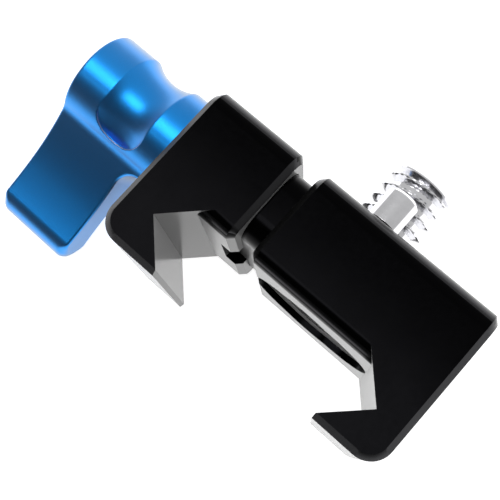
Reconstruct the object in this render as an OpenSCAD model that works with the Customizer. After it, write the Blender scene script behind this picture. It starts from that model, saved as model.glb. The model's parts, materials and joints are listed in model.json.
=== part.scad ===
// Small V-jaw rail clamp with a lifting, ratcheting thumb lever, a threaded
// mounting stud and two locating pins. Millimetres.
// X runs along the clamp screw from the lever to the fixed jaw, Y along the
// mounting stud, Z up. The clamp lies on one flat side, with the origin at the
// bottom centre of its bounding box.

/* [Jaws] */
// Width of both jaws, along the rail
jaw_w = 18; // [14:0.5:26]
// Height of the barrel part of both jaws, across the screw
barrel_h = 9.8; // [9:0.1:13]
// Length of the moving jaw along the screw
moving_l = 9.6; // [8.8:0.1:13]
// Length of the fixed jaw along the screw
fixed_l = 18.8; // [18.2:0.1:26]
// Gap between the jaws as drawn
jaw_gap = 2; // [1:0.1:3]
// Outer end face of the moving jaw to the bottom of its V
moving_nose = 3.35; // [2.6:0.05:4]
// Outer end face of the fixed jaw to the bottom of its V
fixed_nose = 3.05; // [2.6:0.05:4]
// Underside of the barrel to the bottom of the V
v_drop = 2.5; // [2:0.05:3.2]
// Height of the sloping lower flank of the V, cut at 45 degrees
v_leg = 3.35; // [2.6:0.05:4]
// Flat that blunts the tip of each hook
tip_flat = 0.5; // [0.3:0.05:1]
// Radius of the lower outer corner of each hook
hook_r = 2.2; // [1:0.1:3]
// Radius along the top edges of the barrel
top_r = 2; // [1:0.1:2.4]
// Radius along the lower edges of the barrel
under_r = 1.25; // [0.8:0.05:1.6]
// Chamfer on the end faces
chamfer = 0.55; // [0.3:0.05:0.7]
// Width of the key notch in the moving jaw's lower wall
notch_w = 5.3; // [4:0.1:6]
// Length of the key notch along the screw
notch_l = 1.7; // [1.2:0.1:2.2]

/* [Guide post] */
// Wall of the barrel round the guide post
post_wall = 1.15; // [0.9:0.05:1.5]
// Corner radius of the guide post
post_r = 2.4; // [1.5:0.1:3]
// Thickness of the moving jaw's end wall, behind the post pocket
end_wall = 2; // [1.8:0.1:2.4]
// Depth of the post's root in the fixed jaw
root_depth = 2.8; // [2.4:0.1:2.9]
// Running clearance of the post in the moving jaw, each side
slide_gap = 0.05; // [0.03:0.01:0.1]
// Diameter of the dowels that lock the post's root
dowel_d = 1.5; // [1:0.1:2]
// Centre distance of the two dowels
dowel_pitch = 11; // [9:0.5:12]
// Diameter of the holes for the jaw springs
spring_hole_d = 2.7; // [2.2:0.1:3]
// Centre distance of the two jaw springs
spring_pitch = 10.4; // [9.5:0.1:11]
// Depth of the spring holes in the post
spring_hole_l = 5.2; // [4:0.1:6]
// How far the jaws open from the position as drawn
open_travel = 3; // [2:0.1:3]
// Thread diameter of the travel stop screw
stop_thread_d = 2; // [1.6:0.1:2.2]
// Diameter of the stop screw's dog
stop_dog_d = 1.4; // [1:0.1:1.5]
// Depth that the stop screw's dog reaches into the post's slot
stop_dog_l = 0.9; // [0.6:0.1:1]

/* [Mounting stud] */
// Major diameter of the 1/4-20 UNC mounting thread
stud_d = 6.35; // [4:0.05:6.35]
// Diameter of the stud's shank inside the jaw
shank_d = 5.8; // [3.8:0.05:5.8]
// Length of the stud above the jaw
stud_h = 6.95; // [5:0.05:9]
// Face of the fixed jaw's inner end to the stud's centre
stud_x = 6.25; // [6.2:0.05:8]
// Chamfer on the stud's end
stud_chamfer = 0.6; // [0.3:0.1:0.9]
// Hexagon socket across flats, in the stud's lower end
stud_socket = 3.2; // [2:0.1:3.5]
// Diameter of the locating pins
pin_d = 3.1; // [2:0.1:3.5]
// Diameter of the locating pins' shanks inside the jaw
pin_shank_d = 2.6; // [1.8:0.1:2.6]
// Height of the locating pins above the jaw
pin_h = 3.2; // [2:0.1:5]
// Centre distance of the two locating pins
pin_pitch = 12; // [11:0.1:13]
// Depth of the locating pins' holes
pin_depth = 4.2; // [3:0.1:5]
// Depth of the recess in the underside
recess_depth = 0.65; // [0.4:0.05:0.7]
// Length of the recess along the screw
recess_l = 13; // [11:0.1:13.2]
// Width of the recess
recess_w = 9.1; // [8:0.1:10]
// Diameter of the spot face round the stud's lower end
spot_d = 10.2; // [9:0.1:11]
// Diameter of the grub screw that locks the stud
lock_d = 3; // [2:0.1:3]
// Length of the grub screw that locks the stud
lock_l = 4; // [3:0.1:5]

/* [Clamp screw] */
// Diameter of the M4 clamp screw
screw_d = 4; // [3:0.1:4.2]
// Thread depth left in the insert when the jaws stand as drawn
screw_grip = 4.5; // [4:0.1:4.8]
// Outer diameter of the thread insert
insert_d = 5.8; // [5:0.1:6]
// Length of the thread insert
insert_l = 6.6; // [6:0.1:6.6]
// Diameter of the insert's flange
insert_flange_d = 6.6; // [6.2:0.1:6.8]
// Thickness of the insert's flange
insert_flange_t = 1; // [0.6:0.1:1.2]
// Outer diameter of the flanged bush in the moving jaw
bush_d = 5.6; // [5:0.1:6]
// Diameter of the bush's flange
bush_flange_d = 7; // [6.4:0.1:7.4]
// Thickness of the bush's flange
bush_flange_t = 0.6; // [0.4:0.1:0.8]
// Running clearance of the screw in its bush and insert, on the radius
run_gap = 0.03; // [0.02:0.01:0.06]
// Thickness of the thrust washer under the screw's flange
thrust_t = 0.5; // [0.3:0.1:0.8]
// Diameter of the screw's flange and of the thrust washer
flange_d = 6.2; // [5.6:0.1:6.4]
// Thickness of the screw's flange
flange_t = 0.7; // [0.5:0.1:1]
// Thickness of the backing washer inside the moving jaw
backing_t = 0.4; // [0.3:0.05:0.5]
// Thickness of the retaining ring
ring_t = 0.5; // [0.4:0.05:0.6]
// Outer diameter of the backing washer and of the retaining ring
ring_d = 6.2; // [5.6:0.1:6.6]
// Depth of the ring's groove in the screw
ring_groove = 0.4; // [0.3:0.05:0.5]

/* [Ratchet] */
// Number of teeth on the ratchet
teeth = 20; // [16:2:24]
// Diameter over the teeth of the screw's hub
spline_d = 5.2; // [4.8:0.1:5.4]
// Height of the ratchet teeth
tooth_h = 0.32; // [0.25:0.01:0.35]
// Clearance between the ratchet teeth
tooth_gap = 0.06; // [0.04:0.01:0.1]
// Length of the engaged teeth
tooth_l = 1.9; // [1.6:0.1:2.2]
// Lift of the lever that frees the ratchet
lift = 2.1; // [1.9:0.05:2.4]
// Outer diameter of the toothed sleeve in the lever
sleeve_d = 6.9; // [6.7:0.1:7]
// Length of the plain part of the screw's hub, inside the lever spring
hub_l = 4; // [3.8:0.1:4.6]
// Diameter of the screw that holds the lever on
lever_screw_d = 2.5; // [2:0.1:2.6]
// Head diameter of the screw that holds the lever on
lever_head_d = 5.6; // [5:0.1:6]
// Head height of the screw that holds the lever on
lever_head_h = 1.5; // [1:0.1:2]
// Thickness of the washer under that head
lever_washer_t = 0.35; // [0.3:0.05:0.5]

/* [Thumb lever] */
// Diameter of the lever's hub
hub_d = 9.5; // [9.2:0.1:10.5]
// How far the hub swells towards the blade
hub_swell = 0.3; // [0:0.05:0.5]
// Jaw to the lever's outer face
lever_l = 12.67; // [12:0.01:15]
// Angle at which the lever stands about the screw, in degrees; at 0 the blade points along the hooks
lever_angle = 16; // [-90:1:90]
// Screw axis to the tip of the blade
blade_r = 16.1; // [14:0.05:20]
// Thickness of the blade
blade_t = 3.52; // [3:0.02:4]
// Radius of the long, shallow hollow along each face of the blade
flare_r = 20; // [18:0.5:22]
// Slope at which that hollow passes into the tighter one at the neck, in degrees
flare_angle = 18; // [16:0.5:19]
// Place round the hub at which the neck leaves it, in degrees from the blade
neck_angle = 44; // [43:0.5:47]
// Radius of the long edges at the blade's tip
tip_r = 1.6; // [0.5:0.1:1.7]
// Chamfer of the blade's corners, seen from the side
corner_c = 0.5; // [0.2:0.1:1]
// Jaw to the blade's inner face
blade_gap = 4.13; // [3.6:0.01:4.5]
// Screw axis to the underside of the lever's collar
collar_y = 4.8; // [4.6:0.1:5]
// Radius of the hollow behind the blade
relief_r = 1.8; // [1:0.1:2.4]
// Smallest diameter of the waist
waist_d = 7.9; // [7.6:0.1:8.6]
// Length of the waist along the screw, on the hub
waist_l = 5.25; // [4.4:0.05:5.6]
// Length of the collar between the waist and the jaw
collar_l = 3.7; // [3.4:0.05:4.8]
// Diameter to which the waist is cut where the hub swells towards the blade
waist_reach_d = 10.1; // [9.8:0.1:11]
// Screw axis to the walls in which the waist ends beside the neck
waist_end = 3.5; // [3:0.1:3.6]
// Place round the hub from which the waist's floor runs flat to those walls, in degrees from the blade
waist_slant = 67; // [60:1:75]
// Clearance between the lever and the moving jaw
lever_gap = 0.15; // [0.1:0.05:0.3]

/* [Springs] */
// Wire diameter of the jaw springs
jaw_wire = 0.34; // [0.25:0.01:0.4]
// Turns in each jaw spring
jaw_turns = 8; // [5:1:10]
// Wire diameter of the lever spring
lever_wire = 0.34; // [0.25:0.01:0.4]
// Turns in the lever spring
lever_turns = 3.5; // [2.5:0.5:4]

/* [Fits] */
// Clearance of pressed and threaded pieces, on the radius
press_gap = 0.01; // [0.005:0.005:0.03]
// Clearance round springs and washers, on the radius
loose_gap = 0.12; // [0.08:0.01:0.2]

/* [Hidden] */
$fn = 96;
over = 1;                              // how far cutters run past the solid
black = [0.05, 0.05, 0.055];
blue = [0.07, 0.36, 0.72];
steel = [0.72, 0.73, 0.75];
dark_steel = [0.32, 0.33, 0.35];
bronze = [0.72, 0.52, 0.28];

half_w = jaw_w / 2;
half_h = barrel_h / 2;
v_y = -half_h - v_drop;                // bottom of the V
hook_y = v_y - v_leg - tip_flat;       // underside of the hooks
inner_x = moving_l + jaw_gap;          // inner end face of the fixed jaw
total_x = inner_x + fixed_l;           // outer end face of the fixed jaw

post_h = barrel_h - 2 * post_wall;
post_w = jaw_w - 2 * post_wall;
stop_gap = 0.2;                        // post to pocket floor, jaws closed
post_x0 = end_wall + jaw_gap + stop_gap;
post_x1 = inner_x + root_depth;

stud_cx = inner_x + stud_x;
stud_top = half_h + stud_h;
stud_foot = -half_h + recess_depth;
recess_cx = inner_x + chamfer / 2 + recess_l / 2;

ring_room_x = end_wall + backing_t + ring_t + jaw_gap + 0.2;  // the ring's room in the post
insert_x0 = post_x1 - insert_l;
tip_x = insert_x0 + screw_grip;
flange_x = -thrust_t - flange_t;       // outer side of the screw's flange
tooth_x = flange_x - tooth_l;          // outer end of the engaged teeth
hub_x = tooth_x - hub_l;               // outer end of the screw's hub
hub_r = spline_d / 2 - tooth_h - tooth_gap;
head_x = hub_x - lever_washer_t;       // seat of the lever screw's head
sleeve_r = sleeve_d / 2;

sleeve_floor = 0.3;                    // wall of the sleeve under the lever spring
stop_x = moving_l - 1.25;              // the travel stop screw's place along the screw

hub_round = hub_d / 2;
half_t = blade_t / 2;
neck_r = (hub_round * sin(neck_angle) - half_t - flare_r * (1 - cos(flare_angle))) / (cos(flare_angle) - sin(neck_angle));
blade_low = -(blade_r - half_t) * cos(lever_angle) - half_t;   // lowest point of the blade's tip
place = [-(total_x - lever_l) / 2, -(stud_top + blade_low) / 2, half_w];

// ---- plain shapes ----

// A rod along X from x0 to x1
module rod(x0, x1, d) {
    translate([x0, 0, 0]) rotate([0, 90, 0]) cylinder(h = x1 - x0, d = d);
}

// A ring or tube along X
module tube(x0, x1, d, bore) {
    difference() {
        rod(x0, x1, d);
        rod(x0 - over, x1 + over, bore);
    }
}

// A hexagonal hole along X, measured across flats
module hex_rod(x0, x1, flats) {
    translate([x0, 0, 0]) rotate([0, 90, 0]) cylinder(h = x1 - x0, d = flats / cos(30), $fn = 6);
}

// A rod along X whose two ends are chamfered
module turned_rod(x0, x1, d, c0, c1) {
    translate([x0, 0, 0]) rotate([0, 90, 0]) rotate_extrude()
        polygon([[0, 0], [d / 2 - c0, 0], [d / 2, c0], [d / 2, x1 - x0 - c1],
                 [d / 2 - c1, x1 - x0], [0, x1 - x0]]);
}

// The outline of the guide post, grown by a clearance, extruded along X
module post_prism(x0, x1, gap) {
    r = post_r + gap;
    translate([x0, 0, 0]) rotate([90, 0, 90]) linear_extrude(x1 - x0) union() {
        square([post_h + 2 * gap - 2 * r, post_w + 2 * gap], center = true);
        square([post_h + 2 * gap, post_w + 2 * gap - 2 * r], center = true);
        for (sy = [-1, 1], sz = [-1, 1])
            translate([sy * (post_h / 2 + gap - r), sz * (post_w / 2 + gap - r)]) circle(r);
    }
}

// ---- cutters for the jaws' edges; s gives the side that the solid is on ----

module chamfer_outline(c, sa, sb) {
    scale([sa, sb]) polygon([[-over, -over], [c + over, -over], [-over, c + over]]);
}

module chamfer_x(x0, x1, y, z, sy, sz, c) {
    translate([x0, y, z]) rotate([90, 0, 90]) linear_extrude(x1 - x0) chamfer_outline(c, sy, sz);
}

module chamfer_y(y0, y1, x, z, sx, sz, c) {
    translate([x, y0, z]) rotate([-90, 0, 0]) linear_extrude(y1 - y0) chamfer_outline(c, sx, -sz);
}

module chamfer_z(z0, z1, x, y, sx, sy, c) {
    translate([x, y, z0]) linear_extrude(z1 - z0) chamfer_outline(c, sx, sy);
}

// Rounds an edge that runs along X
module round_x(x0, x1, y, z, sy, sz, r) {
    translate([x0, y, z]) rotate([90, 0, 90]) linear_extrude(x1 - x0) scale([sy, sz]) difference() {
        translate([-over, -over]) square(r + over);
        translate([r, r]) circle(r);
    }
}

// Chamfers an end face at x where the edge is rounded to r; a turns the quarter
module chamfer_round(x, y, z, sx, a, r, c) {
    translate([x, y, z]) rotate([a, 0, 0]) rotate([0, sx * 90, 0]) rotate([0, 0, sx > 0 ? 90 : 0])
        rotate_extrude(angle = 90)
            polygon([[max(r - c - over, 0), -over], [r + over, -over], [r + over, c + over],
                     [max(r - c - over, 0), max(c - r, -over)]]);
}

// ---- a jaw's outside, its outer end at x = 0 and its barrel running to x = l ----

module jaw_outline(l, nose) {
    tip_x0 = nose + v_leg;
    difference() {
        polygon([[0, half_h], [l, half_h], [l, -half_h], [nose + v_drop, -half_h], [nose, v_y],
                 [tip_x0, v_y - v_leg], [tip_x0, hook_y], [0, hook_y]]);
        translate([-over, hook_y - over]) difference() {
            square(hook_r + over);
            translate([hook_r + over, hook_r + over]) circle(hook_r);
        }
    }
}

module end_chamfers(x, sx, y0, under) {
    for (sz = [-1, 1]) {
        chamfer_y(y0, half_h - top_r, x, sz * half_w, sx, -sz, chamfer);
        chamfer_round(x, half_h - top_r, sz * (half_w - top_r), sx, sz > 0 ? 0 : -90, top_r, chamfer);
    }
    chamfer_z(-half_w + top_r, half_w - top_r, x, half_h, sx, -1, chamfer);
    if (under) {
        for (sz = [-1, 1])
            chamfer_round(x, -half_h + under_r, sz * (half_w - under_r), sx,
                          sz > 0 ? 90 : 180, under_r, chamfer);
        chamfer_z(-half_w + under_r, half_w - under_r, x, -half_h, sx, 1, chamfer);
    }
}

module jaw_blank(l, nose) {
    flank = nose + v_drop;
    difference() {
        translate([0, 0, -half_w]) linear_extrude(jaw_w) jaw_outline(l, nose);
        for (sz = [-1, 1]) {
            round_x(-over, l + over, half_h, sz * half_w, -1, -sz, top_r);
            intersection() {
                round_x(0, l + over, -half_h, sz * half_w, 1, -sz, under_r);
                translate([0, 0, -half_w - over]) linear_extrude(jaw_w + 2 * over)
                    polygon([[flank - over, -half_h - over], [flank + 2 * under_r, -half_h + 2 * under_r],
                             [l + over, -half_h + 2 * under_r], [l + over, -half_h - over]]);
            }
            chamfer_x(hook_r, nose + v_leg + over, hook_y, sz * half_w, 1, -sz, chamfer);
            translate([hook_r, hook_y + hook_r, sz * half_w]) scale([1, 1, sz]) rotate([0, 0, 180])
                rotate_extrude(angle = 90)
                    polygon([[hook_r - chamfer - over, over], [hook_r + over, over],
                             [hook_r + over, -chamfer - over]]);
        }
        end_chamfers(0, 1, hook_y + hook_r, false);
        end_chamfers(l, -1, -half_h + under_r, true);
    }
}

// ---- fixed jaw group ----

module fixed_jaw() {
    color(black) difference() {
        translate([total_x, 0, 0]) mirror([1, 0, 0]) jaw_blank(fixed_l, fixed_nose);
        post_prism(inner_x - over, post_x1 + press_gap, press_gap);
        for (sz = [-1, 1]) {
            translate([stud_cx, half_h - pin_depth, sz * pin_pitch / 2]) rotate([-90, 0, 0])
                cylinder(h = pin_depth + over, d = pin_shank_d + 2 * press_gap);
            translate([inner_x + root_depth / 2, 0, sz * dowel_pitch / 2]) rotate([-90, 0, 0])
                cylinder(h = half_h + over, d = dowel_d + 2 * press_gap);
        }
        translate([stud_cx, -half_h - over, 0]) rotate([-90, 0, 0])
            cylinder(h = barrel_h + 2 * over, d = shank_d + 2 * press_gap);
        underside_recess();
        rod(stud_cx, total_x + over, lock_d + 2 * press_gap);
    }
}

module underside_recess() {
    straight = recess_l - recess_w;
    translate([0, -half_h - over, 0]) rotate([-90, 0, 0]) {
        for (s = [-1, 1]) translate([recess_cx + s * straight / 2, 0, 0])
            cylinder(h = recess_depth + over, d = recess_w);
        translate([recess_cx - straight / 2, -recess_w / 2, 0]) cube([straight, recess_w, recess_depth + over]);
        translate([stud_cx, 0, 0]) cylinder(h = recess_depth + over, d = spot_d);
    }
}

module guide_post() {
    color(black) difference() {
        post_prism(post_x0, post_x1, 0);
        rod(post_x0 - over, post_x1, screw_d + 2 * loose_gap);
        rod(post_x0 - over, ring_room_x, ring_d + 2 * loose_gap);
        rod(insert_x0, post_x1 + over, insert_d + 2 * press_gap);
        rod(post_x1 - insert_flange_t, post_x1 + over, insert_flange_d + 2 * press_gap);
        for (sz = [-1, 1]) {
            translate([0, 0, sz * spring_pitch / 2]) rod(post_x0 - over, post_x0 + spring_hole_l, spring_hole_d);
            translate([inner_x + root_depth / 2, -post_h / 4, sz * dowel_pitch / 2]) rotate([-90, 0, 0])
                cylinder(h = post_h, d = dowel_d + 2 * press_gap);
        }
        translate([stop_x, post_h / 2, 0]) stop_slot();
    }
}

// Slot in the post's top that the travel stop runs in
module stop_slot() {
    w = stop_dog_d + 2 * loose_gap;
    translate([0, -stop_dog_l, 0]) rotate([-90, 0, 0]) {
        for (x = [-open_travel, jaw_gap]) translate([x, 0, 0]) cylinder(h = stop_dog_l + over, d = w);
        translate([-open_travel, -w / 2, 0]) cube([open_travel + jaw_gap, w, stop_dog_l + over]);
    }
}

module thread_insert() {
    color(steel) difference() {
        union() {
            rod(insert_x0, post_x1, insert_d);
            rod(post_x1 - insert_flange_t, post_x1, insert_flange_d);
        }
        rod(insert_x0 - over, post_x1 + over, screw_d + 2 * run_gap);
    }
}

module post_dowels() {
    color(steel) for (sz = [-1, 1])
        translate([inner_x + root_depth / 2, -post_h / 4, sz * dowel_pitch / 2]) rotate([-90, 0, 0])
            cylinder(h = half_h + post_h / 4 - 0.2, d = dowel_d);
}

module mounting_stud() {
    color(steel) difference() {
        translate([stud_cx, 0, 0]) rotate([0, 0, 90]) {
            turned_rod(stud_foot, half_h + over, shank_d, 0.3, 0);
            turned_rod(half_h + press_gap, stud_top, stud_d, 0, stud_chamfer);
        }
        translate([stud_cx, stud_foot - over, 0]) rotate([0, 0, 90]) hex_rod(0, 2.5 + over, stud_socket);
    }
}

module stud_lock_screw() {
    x0 = stud_cx + shank_d / 2 + press_gap;
    color(dark_steel) difference() {
        turned_rod(x0, x0 + lock_l, lock_d, 0.4, 0.2);
        hex_rod(x0 + lock_l - 1.6, x0 + lock_l + over, lock_d / 2);
    }
}

module locating_pin(sz) {
    color(steel) translate([stud_cx, 0, sz * pin_pitch / 2]) rotate([0, 0, 90]) {
        turned_rod(half_h - pin_depth + press_gap, half_h + over, pin_shank_d, 0.2, 0);
        turned_rod(half_h + press_gap, half_h + pin_h, pin_d, 0, 0.3);
    }
}

module locating_pin_upper() { locating_pin(1); }
module locating_pin_lower() { locating_pin(-1); }

// ---- moving jaw group ----

module moving_jaw() {
    color(black) difference() {
        jaw_blank(moving_l, moving_nose);
        post_prism(end_wall, moving_l + over, slide_gap);
        rod(-over, end_wall + over, bush_d + 2 * press_gap);
        rod(-over, bush_flange_t, bush_flange_d + 2 * press_gap);
        translate([moving_l - notch_l, -half_h - over, -notch_w / 2]) cube([notch_l + over, half_h, notch_w]);
        translate([stop_x, 0, 0]) rotate([-90, 0, 0]) cylinder(h = half_h + over, d = stop_thread_d + 2 * press_gap);
    }
}

module jaw_bush() {
    color(bronze) difference() {
        union() {
            rod(0, end_wall, bush_d);
            rod(0, bush_flange_t, bush_flange_d);
        }
        rod(-over, end_wall + over, screw_d + 2 * run_gap);
    }
}

module backing_washer() {
    color(steel) tube(end_wall + 0.02, end_wall + 0.02 + backing_t, ring_d, screw_d + 2 * loose_gap);
}

// An open ring sprung into the screw's groove
module retaining_ring() {
    x0 = end_wall + backing_t + 0.05;
    color(dark_steel) difference() {
        tube(x0, x0 + ring_t, ring_d, screw_d - 2 * ring_groove + 2 * press_gap);
        translate([x0 - over, -ring_d, -screw_d / 4]) cube([ring_t + 2 * over, ring_d, screw_d / 2]);
    }
}

module travel_stop_screw() {
    color(dark_steel) translate([stop_x, 0, 0]) rotate([0, 0, 90]) difference() {
        union() {
            rod(post_h / 2 + slide_gap, half_h - 0.15, stop_thread_d);
            rod(post_h / 2 - stop_dog_l + 0.1, half_h - 0.2, stop_dog_d);
        }
        hex_rod(half_h - 0.9, half_h + over, 0.9);
    }
}

// ---- springs ----

// Points of a round wire swept along a helix about X, ground flat at neither end
function ring_points(turns, l, r, wire, a, sides) =
    [for (k = [0 : sides - 1]) let (b = 360 * k / sides, rr = r + wire / 2 * cos(b))
        [wire / 2 + (l - wire) * a / (360 * turns) + wire / 2 * sin(b), rr * cos(a), rr * sin(a)]];

module coil(x0, l, mean_d, wire, turns, step = 24, sides = 6) {
    n = round(360 * turns / step);
    pts = [for (i = [0 : n]) each ring_points(turns, l, mean_d / 2, wire, i * 360 * turns / n, sides)];
    skin = [for (i = [0 : n - 1], k = [0 : sides - 1]) let (j = (k + 1) % sides)
        [i * sides + k, (i + 1) * sides + k, (i + 1) * sides + j, i * sides + j]];
    head = [for (k = [0 : sides - 1]) k];
    tail = [for (k = [sides - 1 : -1 : 0]) n * sides + k];
    translate([x0, 0, 0]) polyhedron(pts, concat([head], skin, [tail]), convexity = 10);
}

module jaw_spring(sz) {
    x0 = end_wall + 0.05;
    color(steel) translate([0, 0, sz * spring_pitch / 2])
        coil(x0, post_x0 + spring_hole_l - 0.05 - x0, spring_hole_d - 2 * loose_gap - jaw_wire, jaw_wire, jaw_turns);
}

module jaw_spring_upper() { jaw_spring(1); }
module jaw_spring_lower() { jaw_spring(-1); }

// ---- screw group: turns in the moving jaw ----

// Outline of the ratchet's teeth: a ring of equal V teeth
function tooth_points(r_tip, h) =
    [for (i = [0 : 2 * teeth - 1]) let (r = i % 2 == 0 ? r_tip : r_tip - h, a = 180 * i / teeth)
        [r * cos(a), r * sin(a)]];

module toothed_rod(x0, x1, r_tip) {
    translate([x0, 0, 0]) rotate([90, 0, 90]) linear_extrude(x1 - x0) polygon(tooth_points(r_tip, tooth_h));
}

module clamp_screw() {
    groove_x = end_wall + backing_t + 0.03;
    color(steel) difference() {
        union() {
            turned_rod(0, tip_x, screw_d, 0, 0.5);
            rod(-thrust_t - flange_t / 2, 1, screw_d);
            rod(flange_x, -thrust_t, flange_d);
            toothed_rod(tooth_x, flange_x, spline_d / 2);
            rod(hub_x, flange_x, 2 * hub_r);
        }
        tube(groove_x, groove_x + ring_t + 0.04, screw_d + over, screw_d - 2 * ring_groove);
        rod(hub_x - over, flange_x, lever_screw_d + 2 * press_gap);
    }
}

module thrust_washer() {
    color(bronze) tube(-thrust_t + 0.02, -0.02, flange_d, screw_d + 2 * run_gap);
}

module lever_screw() {
    color(dark_steel) difference() {
        union() {
            turned_rod(hub_x, flange_x - 0.8, lever_screw_d, 0, 0.3);
            rod(head_x - 0.1, hub_x + 0.1, lever_screw_d);
            turned_rod(head_x - lever_head_h, head_x, lever_head_d, 0.35, 0);
        }
        hex_rod(head_x - lever_head_h - over, head_x - lever_head_h + 1, 2);
    }
}

module lever_washer() {
    color(steel) tube(head_x, hub_x, sleeve_d - 4 * loose_gap, lever_screw_d + 2 * loose_gap);
}

module lever_spring() {
    color(steel) coil(hub_x + 0.05, tooth_x - sleeve_floor - hub_x - 0.1, sleeve_d - 4 * loose_gap - lever_wire,
                      lever_wire, lever_turns);
}

// ---- lever group: lifts off the ratchet ----

// Takes the corner p off an outline that runs from a to p to b, leaving a round
module corner_cut(a, p, b, r) {
    ua = (a - p) / norm(a - p);
    ub = (b - p) / norm(b - p);
    half = acos(ua * ub) / 2;
    ta = p + ua * r / tan(half);
    tb = p + ub * r / tan(half);
    mid = (ua + ub) / norm(ua + ub);
    centre = p + mid * r / sin(half);
    difference() {
        polygon([centre, ta + (ta - centre), p - mid * r, tb + (tb - centre)]);
        translate(centre) circle(r);
    }
}

// Hub and blade seen along the screw, the blade towards -x: the neck leaves the hub in a tight
// hollow, which passes into a long one along the blade
module lever_section() {
    leave = [-hub_swell - hub_round * cos(neck_angle), hub_round * sin(neck_angle)];
    neck_c = leave + neck_r * [-cos(neck_angle), sin(neck_angle)];
    pass = neck_c + neck_r * [sin(flare_angle), -cos(flare_angle)];
    flare_c = neck_c + (flare_r - neck_r) * [-sin(flare_angle), cos(flare_angle)];
    level = [flare_c.x, half_t];
    tip = [-blade_r, half_t];
    for (x = [0, -hub_swell]) translate([x, 0]) circle(hub_round);
    difference() {
        polygon([leave, pass, [pass.x, -pass.y], [leave.x, -leave.y]]);
        for (m = [0, 1]) mirror([0, m]) translate(neck_c) circle(neck_r);
    }
    difference() {
        polygon([pass + [0.2, 0], pass, level, tip, [tip.x, -tip.y], [level.x, -level.y],
                 [pass.x, -pass.y], [pass.x + 0.2, -pass.y]]);
        for (m = [0, 1]) mirror([0, m]) translate(flare_c) circle(flare_r);
        corner_cut(level, tip, [tip.x, -tip.y], tip_r);
        corner_cut([level.x, -level.y], [tip.x, -tip.y], tip, tip_r);
    }
}

// Hub and blade seen from the side, in X and along the blade
module lever_side() {
    c = corner_c;
    toe = [-lever_l, -blade_r];
    heel = [-blade_gap, -blade_r];
    relief = [-blade_gap, -collar_y - relief_r];
    difference() {
        polygon([[-lever_l, hub_d], [-lever_gap, hub_d], [-lever_gap, -collar_y], [-blade_gap + relief_r, -collar_y],
                 relief, heel + [0, c], heel - [c, 0], toe + [c, 0], toe + [0, c]]);
        translate(relief + [relief_r, 0]) circle(relief_r);
    }
}

// Radius of the arc that spans a chord of length l with a height of h
function arc_radius(l, h) = (l * l / 4 + h * h) / (2 * h);

// The waist, as a ring to take away; its floor runs out flat to a wall on each side of the neck
module waist_ring() {
    inner_r = arc_radius(waist_l, (hub_d - waist_d) / 2);
    outer_r = arc_radius(waist_l + 0.3, (waist_reach_d - hub_d) / 2);
    mid_x = -collar_l - waist_l / 2;
    leave = waist_d / 2 * [-cos(waist_slant), sin(waist_slant)];
    foot_z = (waist_d / 2 - waist_end * cos(waist_slant)) / sin(waist_slant);
    difference() {
        translate([mid_x, 0, 0]) rotate([0, 90, 0]) rotate_extrude() intersection() {
            translate([waist_d / 2 + inner_r, 0]) circle(inner_r);
            translate([waist_reach_d / 2 - outer_r, 0]) circle(outer_r);
        }
        translate([mid_x - waist_l, 0, 0]) rotate([90, 0, 90]) linear_extrude(2 * waist_l)
            for (m = [0, 1]) mirror([0, m]) polygon([[1, -1], leave, [-waist_end, foot_z],
                                                     [-waist_end, waist_reach_d], -[waist_reach_d, -waist_reach_d],
                                                     -[waist_reach_d, 1]]);
    }
}

module thumb_lever() {
    bore_d = sleeve_d + 2 * press_gap;
    color(blue) difference() {
        rotate([lever_angle, 0, 0]) difference() {
            intersection() {
                translate([-lever_l, 0, 0]) rotate([90, 0, 90]) linear_extrude(lever_l) lever_section();
                translate([0, 0, -hub_d]) linear_extrude(2 * hub_d) lever_side();
            }
            waist_ring();
        }
        rod(-lever_l - over, over, bore_d);
    }
}

module ratchet_sleeve() {
    lip = tooth_x - sleeve_floor;
    color(dark_steel) difference() {
        rod(lip, -lever_gap - 0.1, sleeve_d);
        rod(lip - over, 0, 2 * hub_r + 2 * tooth_gap);
        toothed_rod(tooth_x, 0, spline_d / 2 + tooth_gap);
        rod(flange_x - 0.1, 0, flange_d + 2 * loose_gap);
    }
}

// Puts a piece on the floor, centred
module placed() {
    translate(place) children();
}

placed() fixed_jaw();
placed() guide_post();
placed() thread_insert();
placed() post_dowels();
placed() mounting_stud();
placed() stud_lock_screw();
placed() locating_pin_upper();
placed() locating_pin_lower();
placed() moving_jaw();
placed() jaw_bush();
placed() backing_washer();
placed() retaining_ring();
placed() travel_stop_screw();
placed() jaw_spring_upper();
placed() jaw_spring_lower();
placed() clamp_screw();
placed() thrust_washer();
placed() lever_screw();
placed() lever_washer();
placed() lever_spring();
placed() thumb_lever();
placed() ratchet_sleeve();
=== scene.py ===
"""Looks of the small rail clamp: finishes, eased edges, threads, springs, the lever's form and the studio."""
import json
import math

import bmesh
import bpy
import numpy as np
from bpy.props import FloatProperty, FloatVectorProperty, IntProperty, PointerProperty
from mathutils import Matrix, Vector

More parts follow.
